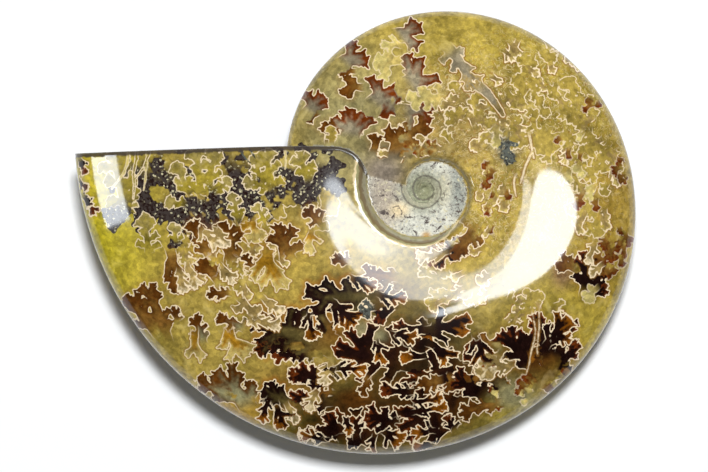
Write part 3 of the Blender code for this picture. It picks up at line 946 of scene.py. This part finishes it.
class Graph:
    """Small helper to write a node tree as formulas."""

    def __init__(self, tree):
        self.tree = tree

    def node(self, kind, **settings):
        node = self.tree.nodes.new(kind)
        for name, value in settings.items():
            setattr(node, name, value)
        return node

    def join(self, source, socket):
        if isinstance(source, bpy.types.NodeSocket):
            self.tree.links.new(source, socket)
        else:
            socket.default_value = source

    def math(self, operation, *values):
        node = self.node("ShaderNodeMath", operation=operation)
        for value, socket in zip(values, node.inputs):
            self.join(value, socket)
        return node.outputs[0]

    def times(self, first, second):
        return self.math("MULTIPLY", first, second)

    def scaled(self, vector, factor):
        node = self.node("ShaderNodeVectorMath", operation="SCALE")
        self.join(vector, node.inputs[0])
        self.join(factor, node.inputs["Scale"])
        return node.outputs[0]

    def mix(self, factor, first, second, blend="MIX"):
        node = self.node("ShaderNodeMix", data_type="RGBA", blend_type=blend, clamp_factor=True)
        self.join(factor, node.inputs[0])
        self.join(first, node.inputs[6])
        self.join(second, node.inputs[7])
        return node.outputs[2]

    def over(self, colour, tint, mask, strength=None):
        """A tint laid over a colour where the mask is on, at most at this strength."""
        share = mask if strength is None else self.times(mask, strength)
        return self.mix(share, colour, colour4(tint))

    def step(self, value, low, high):
        """Smooth step: 0 below low, 1 above high. With low above high it falls instead."""
        node = self.node("ShaderNodeMapRange", interpolation_type="SMOOTHSTEP", clamp=True)
        self.join(value, node.inputs["Value"])
        rising = low < high
        self.join(low if rising else high, node.inputs["From Min"])
        self.join(high if rising else low, node.inputs["From Max"])
        node.inputs["To Min"].default_value = 0.0 if rising else 1.0
        node.inputs["To Max"].default_value = 1.0 if rising else 0.0
        return node.outputs["Result"]

    def noise(self, place, size, detail=2.0, roughness=0.5, warp=0.0):
        """Cloudy noise from 0 to 1 whose features are about this many millimetres wide."""
        node = self.node("ShaderNodeTexNoise")
        self.join(place, node.inputs["Vector"])
        node.inputs["Scale"].default_value = 1.0 / size
        node.inputs["Detail"].default_value = detail
        node.inputs["Roughness"].default_value = roughness
        node.inputs["Distortion"].default_value = warp
        return node.outputs["Fac"]

    def ripple(self, place, size, detail=2.0):
        """Noise about zero."""
        return self.math("SUBTRACT", self.noise(place, size, detail), 0.5)

    def off(self, value, centre):
        """Distance of a value from a centre."""
        return self.math("ABSOLUTE", self.math("SUBTRACT", value, centre))

    def cells(self, place, size):
        node = self.node("ShaderNodeTexVoronoi")
        self.join(place, node.inputs["Vector"])
        node.inputs["Scale"].default_value = 1.0 / size
        return node.outputs

    def attribute(self, name):
        node = self.node("ShaderNodeAttribute", attribute_name=name)
        return node.outputs

    def parts(self, colour):
        node = self.node("ShaderNodeSeparateColor")
        self.join(colour, node.inputs[0])
        return node.outputs


def colour4(colour):
    return (float(colour[0]), float(colour[1]), float(colour[2]), 1.0)


def new_material(name):
    """Material with its graph, its shader and the place on the stone in mm."""
    material = bpy.data.materials.new(name)
    material.use_nodes = True
    graph = Graph(material.node_tree)
    place = graph.scaled(graph.node("ShaderNodeTexCoord").outputs["Object"], 1.0 / MM)
    return material, graph, material.node_tree.nodes["Principled BSDF"], place


def add_leaves(graph, colour, layer, place, shade):
    """One layer of leaves over a colour: amber glow, filled leaf, brown and pale outlines."""
    field = graph.attribute(f"leaf{layer}")
    rim = graph.attribute(f"leaf{layer}_rim")
    body = graph.attribute(f"leaf{layer}_body")
    distance, along, druse_glint = graph.parts(field["Color"])
    fade = graph.step(along, 0.0, ROOT_FADE)
    glow, depth, pale = field["Alpha"], rim["Alpha"], body["Alpha"]
    for size, height in OUTLINE_RIPPLES:
        distance = graph.math("MULTIPLY_ADD", graph.ripple(place, size, 1.0), height, distance)
    away = graph.math("ABSOLUTE", distance)

    halo = graph.times(graph.step(distance, HALO_REACH, 0.0), graph.math("MAXIMUM", glow, 0.0))
    colour = graph.over(colour, AMBER, halo, fade)
    inside = graph.times(graph.step(distance, SOFT_EDGE, -SOFT_EDGE), fade)
    drift = graph.times(graph.ripple(place, DRIFT_SIZE), DRIFT_DEPTH)
    before_tip = graph.math("MAXIMUM", graph.math("SUBTRACT", TIP_START, along), 0.0)
    deeper = graph.times(before_tip, ROOT_DEPTH)
    share = graph.math("ADD", graph.math("SUBTRACT", drift, distance), deeper)
    share = graph.math("DIVIDE", share, depth)
    leaf = graph.mix(graph.step(share, 0.3, 1.3), rim["Color"], body["Color"])
    # Druse crust where the style asks for it, with painted crystal glints
    leaf = graph.mix(graph.times(druse_glint, 0.9), graph.scaled(leaf, shade), druse(graph, place, leaf))
    colour = graph.mix(inside, colour, leaf)

    brown = graph.times(graph.step(distance, *BROWN_OUTER), graph.step(distance, *BROWN_INNER))
    brown = graph.times(brown, graph.math("MAXIMUM", graph.times(glow, -1.0), 0.0))
    colour = graph.over(colour, DARK_AMBER, brown, fade)
    return graph.over(colour, LINE, graph.step(away, *LINE_BAND), graph.times(pale, fade))


def druse(graph, place, base):
    """Crust of tiny crystals over a colour, with pale specks painted on as the glints of their faces."""
    random_red, random_green, _ = graph.parts(graph.cells(place, 0.36)["Color"])
    # Painted glints: pale specks on random crystal cells
    druse_glint = graph.step(random_red, 0.86, 1.0)
    crust = graph.mix(graph.step(random_green, 0.35, 0.9), base, colour4(BLACK_BROWN))
    return graph.mix(druse_glint, crust, colour4(PALE))


def stone_material():
    material, graph, shader, place = new_material("polished_fossil")
    ground = graph.attribute("ground")
    froth = ground["Alpha"]

    # Clouded honey calcite
    cloud = graph.noise(place, 7.0, 4.0, 0.6)
    grain = graph.noise(place, 1.1, 3.0, 0.7)
    crystal = graph.parts(graph.cells(place, 0.9)["Color"])[0]
    shade = graph.math("MULTIPLY_ADD", cloud, 1.5, 0.05)
    shade = graph.times(shade, graph.math("MULTIPLY_ADD", grain, 1.5, 0.22))
    shade = graph.times(shade, graph.math("MULTIPLY_ADD", crystal, 0.4, 0.75))
    dimmed = graph.scaled(ground["Color"], shade)
    veil = graph.step(graph.noise(place, 4.0, 3.0, 0.65, 0.5), 0.52, 0.75)
    milky = graph.mix(0.35, graph.mix(1.0, ground["Color"], ground["Color"], "ADD"), colour4(PALE))
    milky = graph.mix(graph.step(graph.parts(ground["Color"])[1], 0.02, 0.15), dimmed, milky)
    colour = graph.mix(graph.times(veil, 0.4), dimmed, milky)

    # Golden froth with pale squiggles
    froth_noise = graph.noise(place, 1.6, 2.0, 0.6, 1.0)
    squiggle = graph.step(graph.off(froth_noise, 0.5), 0.025, 0.008)
    speck = graph.step(graph.noise(place, 0.7, 2.0, 0.6), 0.55, 0.7)
    frothy = graph.over(colour, AMBER, speck, 0.75)
    frothy = graph.over(frothy, CREAM, squiggle, 0.8)
    colour = graph.mix(froth, colour, frothy)

    for layer in range(len(LEAF_LAYERS)):
        colour = add_leaves(graph, colour, layer, place, shade)

    # Grey-green wall of the umbilicus with a brown strip and cream edges
    extra = graph.attribute("extra")
    climb, to_cut, _ = graph.parts(extra["Color"])
    ripple = graph.ripple(place, 1.3)
    climb = graph.math("MULTIPLY_ADD", ripple, 0.5, climb)
    colour = graph.over(colour, GREEN_GREY, graph.step(climb, 1.25, 1.05))
    colour = graph.over(colour, BROWN, graph.step(graph.off(climb, 0.55), 0.22, 0.12), 0.6)
    colour = graph.over(colour, CREAM, graph.step(graph.off(climb, 1.05), 0.16, 0.06), 0.8)

    # Dark strip along the cut: painted shade and a painted dark reflection on its rounded edge
    to_cut = graph.math("MULTIPLY_ADD", ripple, 0.9, to_cut)
    colour = graph.over(colour, DARK_GREY, graph.step(to_cut, 1.1, 0.7), 0.9)

    graph.join(colour, shader.inputs["Base Color"])
    shader.inputs["Roughness"].default_value = STONE_ROUGHNESS
    shader.inputs["Specular IOR Level"].default_value = STONE_SPECULAR
    shader.inputs["Coat Weight"].default_value = 1.0
    shader.inputs["Coat Roughness"].default_value = COAT_ROUGHNESS
    return material


def zone_weight(x, y, middle_x, middle_y, reach_x, reach_y):
    away = ((x / MM - middle_x) / reach_x) ** 2 + ((y / MM - middle_y) / reach_y) ** 2
    return np.exp(-(away**1.5))


def zone_colour(x, y, base, zones):
    colour = np.tile(base, (len(x), 1))
    for middle_x, middle_y, reach_x, reach_y, tint, strength in zones:
        weight = strength * zone_weight(x, y, middle_x, middle_y, reach_x, reach_y)[:, None]
        colour = colour * (1.0 - weight) + tint * weight
    return colour


def zone_strength(x, y, base, zones):
    value = np.full(len(x), base)
    for middle_x, middle_y, reach_x, reach_y, strength in zones:
        weight = zone_weight(x, y, middle_x, middle_y, reach_x, reach_y)
        value = value * (1.0 - weight) + strength * weight
    return value


def matrix_material():
    """Dull mud and chalky matrix that fills the umbilicus, with cream ridges along the inner seams."""
    material, graph, shader, place = new_material("umbilicus_matrix")
    extra = graph.attribute("extra")
    _, _, past_seam = graph.parts(extra["Color"])
    before_seam = extra["Alpha"]
    tint = graph.attribute("ground")["Color"]
    speck = graph.noise(place, 0.55, 3.0, 0.75)
    cloud = graph.noise(place, 2.4, 3.0, 0.6)
    shade = graph.math("MULTIPLY_ADD", speck, 1.6, 0.2)
    shade = graph.times(shade, graph.math("MULTIPLY_ADD", cloud, 0.9, 0.55))
    colour = graph.over(graph.scaled(tint, shade), CHALK, graph.step(speck, 0.60, 0.68))
    colour = graph.over(colour, MUD_DARK, graph.step(speck, 0.40, 0.32), 0.7)
    rough = graph.math("SUBTRACT", 1.0, graph.attribute("ground")["Alpha"])
    blotch = graph.noise(place, 1.3, 4.0, 0.75, 0.6)
    colour = graph.over(colour, MUD_DARK, graph.step(blotch, 0.46, 0.38), rough)
    colour = graph.over(colour, PALE, graph.step(blotch, 0.58, 0.66), rough)
    wobble = graph.times(graph.ripple(place, 1.0), 0.5)
    past_seam = graph.math("ADD", past_seam, wobble)
    before_seam = graph.math("ADD", before_seam, wobble)
    colour = graph.over(colour, MUD_DARK, graph.step(graph.off(past_seam, 0.95), 0.25, 0.1), 0.6)
    rim = graph.times(graph.step(past_seam, 0.75, 0.35), 0.8)
    colour = graph.over(colour, CHALK, rim, rough)
    colour = graph.over(colour, OLIVE_GREY, graph.step(before_seam, 0.45, 0.15), 0.6)
    graph.join(colour, shader.inputs["Base Color"])
    shader.inputs["Roughness"].default_value = MATRIX_ROUGHNESS
    shader.inputs["Specular IOR Level"].default_value = MATRIX_SPECULAR
    bump = graph.node("ShaderNodeBump")
    bump.inputs["Strength"].default_value = MATRIX_BUMP
    bump.inputs["Distance"].default_value = MATRIX_RELIEF
    graph.join(speck, bump.inputs["Height"])
    graph.join(bump.outputs["Normal"], shader.inputs["Normal"])
    return material


def cut_material():
    """The flat cut across the opening: dark sediment with pale grains."""
    material, graph, shader, place = new_material("cut_face")
    cloud = graph.noise(place, 5.0, 4.0, 0.65, 0.4)
    colour = graph.mix(graph.step(cloud, 0.35, 0.7), colour4(DARK_GREY), colour4(OLIVE_GREY))
    colour = graph.over(colour, MATRIX, graph.step(graph.noise(place, 0.7, 3.0, 0.7), 0.6, 0.75))
    graph.join(colour, shader.inputs["Base Color"])
    shader.inputs["Roughness"].default_value = CUT_ROUGHNESS
    return material


def unrolled_radius(radius, row):
    """Radius as if the rounded outer edge were rolled out flat, so that the pattern wraps round it."""
    keel = VENTER_RADIUS * np.exp(-COIL_RATE * row)
    inside = np.clip((COIL.venter(row) - radius) / keel, 0.0, 1.0)
    arc = keel * (QUARTER_TURN - np.arccos(1.0 - inside))
    return radius + np.where(inside < 1.0, arc - keel * (1.0 - inside), 0.0)


def place_values(radius, row):
    """Share up the umbilical wall, distance to the cut and to the two seams beside a point, in mm."""
    seam = COIL.seam(row)
    climb = (radius - seam) / (SHOULDER_AT * (COIL.venter(row) - seam))
    climb += WALL_FADE_CLIMB * np.clip((row - WALL_START) / WALL_FADE, 0.0, 1.0)
    to_cut = np.where(row < 1.0, radius * row / MM, FAR_FROM_CUT)
    next_seam = COIL.seam(np.maximum(row - TURN, 0.0))
    to_cut = np.minimum(to_cut, FAR_FROM_CUT)
    return np.minimum(climb, MOST_CLIMB), to_cut, (radius - seam) / MM, (next_seam - radius) / MM


def paint_stone(mesh, table):
    """Vertex values that the stone's material reads."""
    radius, row, side, wall = table[3:7]
    turned = np.where(side > 0.0, 0.0, UNDERSIDE_TURN)
    x, y = plan_place(unrolled_radius(radius, row), row - lean(radius) + turned)
    x, y = x - MIDDLE[0], y - MIDDLE[1]
    inner = (row > TURN - 1e-6)[:, None]
    tint = np.where(inner, zone_colour(x, y, MATRIX, MATRIX_ZONES), zone_colour(x, y, HONEY, GROUND_ZONES))
    froth, plain = zone_strength(x, y, 0.0, FROTH_ZONES), zone_strength(x, y, 0.0, PLAIN_ZONES)
    layers = {"ground": np.column_stack([tint, np.where(row > TURN - 1e-6, plain, froth)])}
    layers["extra"] = np.column_stack(place_values(radius, row))
    points = Sorted(x, y)
    bare = (row > TURN) | (wall > 0.5)
    for number, leaves in enumerate(ALL_LEAVES):
        layer = LeafLayer(points, leaves)
        edge, inside = layer.style[:, :3], layer.style[:, 3:6]
        # The last style value is the strength of the druse crust with its painted crystal glints
        depth, pale, glow, druse_glint = layer.style[:, 6:].T
        along = np.where(bare, 0.0, layer.along)
        layers[f"leaf{number}"] = np.column_stack([layer.distance / MM, along, druse_glint, glow])
        layers[f"leaf{number}_rim"] = np.column_stack([edge, depth])
        layers[f"leaf{number}_body"] = np.column_stack([inside, pale])
    for name, values in layers.items():
        attribute = mesh.attributes.new(name, "FLOAT_COLOR", "POINT")
        attribute.data.foreach_set("color", values.astype(np.float32).ravel())


def add_object(name, data):
    thing = bpy.data.objects.new(name, data)
    bpy.context.scene.collection.objects.link(thing)
    return thing


def make_stone():
    table, triangles = stone_surface()
    points = lay_down(table[:3].copy())
    mesh = bpy.data.meshes.new("ammonite_surface")
    mesh.vertices.add(points.shape[1])
    mesh.vertices.foreach_set("co", points.T.astype(np.float32).ravel())
    mesh.loops.add(triangles.size)
    mesh.loops.foreach_set("vertex_index", triangles.astype(np.int32).ravel())
    mesh.polygons.add(len(triangles))
    mesh.polygons.foreach_set("loop_start", np.arange(0, triangles.size, 3, dtype=np.int32))
    mesh.update(calc_edges=True)
    mesh.shade_smooth()
    paint_stone(mesh, table)
    for material in (stone_material(), matrix_material(), cut_material()):
        mesh.materials.append(material)
    row, wall = table[4][triangles].mean(1), table[6][triangles]
    kind = np.where(row > TURN + 1e-6, 1, 0)
    kind[(wall > 0.5).all(1)] = 2
    mesh.polygons.foreach_set("material_index", kind.astype(np.int32))
    return add_object("polished_ammonite", mesh)


def make_floor():
    size = FLOOR_SIZE / 2.0
    mesh = bpy.data.meshes.new("floor")
    corners = [(-size, -size, 0.0), (size, -size, 0.0), (size, size, 0.0), (-size, size, 0.0)]
    mesh.from_pydata(corners, [], [(0, 1, 2, 3)])
    material = bpy.data.materials.new("pale_floor")
    material.use_nodes = True
    shader = material.node_tree.nodes["Principled BSDF"]
    shader.inputs["Base Color"].default_value = FLOOR_COLOUR
    shader.inputs["Roughness"].default_value = FLOOR_ROUGHNESS
    shader.inputs["Specular IOR Level"].default_value = FLOOR_SPECULAR
    mesh.materials.append(material)
    return add_object("floor", mesh)


def aim(thing, target):
    thing.rotation_euler = (Vector(target) - thing.location).to_track_quat("-Z", "Y").to_euler()


def make_camera():
    """Straight down on the stone, through a long lens, so that the outline keeps its measured plan."""
    camera = bpy.data.cameras.new("camera")
    camera.sensor_width = SENSOR
    camera.lens = SENSOR * (CAMERA_HEIGHT - VENTER_HEIGHT) / PICTURE_WIDTH
    camera.clip_end = 10.0
    holder = add_object("camera", camera)
    holder.location = (CAMERA_X, CAMERA_Y, CAMERA_HEIGHT)
    bpy.context.scene.camera = holder


def add_panel(name, outline, centre, size, turn, radiance, lights, shines):
    """Soft box: a glowing sheet that faces down or the stone. Its power follows from its radiance."""
    light = bpy.data.lights.new(name, "AREA")
    light.shape = outline
    light.size, light.size_y = size
    area = size[0] * size[1] * (math.pi / 4.0 if outline == "ELLIPSE" else 1.0)
    light.energy = radiance * area * math.pi
    if shines:
        light.color = PANEL_COLOUR
    holder = add_object(name, light)
    holder.location = centre
    holder.visible_diffuse = lights
    holder.visible_glossy = shines
    if turn is None:
        aim(holder, AIM_POINT)
    else:
        holder.rotation_euler.z = turn


def add_lights():
    world = bpy.data.worlds.new("studio")
    world.use_nodes = True
    background = world.node_tree.nodes["Background"]
    background.inputs["Color"].default_value = WORLD_COLOUR
    background.inputs["Strength"].default_value = WORLD_STRENGTH
    bpy.context.scene.world = world
    world.cycles_visibility.glossy = False
    for panel in PANELS:
        add_panel(*panel)


stone = make_stone()
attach(stone, "root")
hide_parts("ammonite")
make_floor()
make_camera()
add_lights()
view = bpy.context.scene.view_settings
view.view_transform = "Standard"
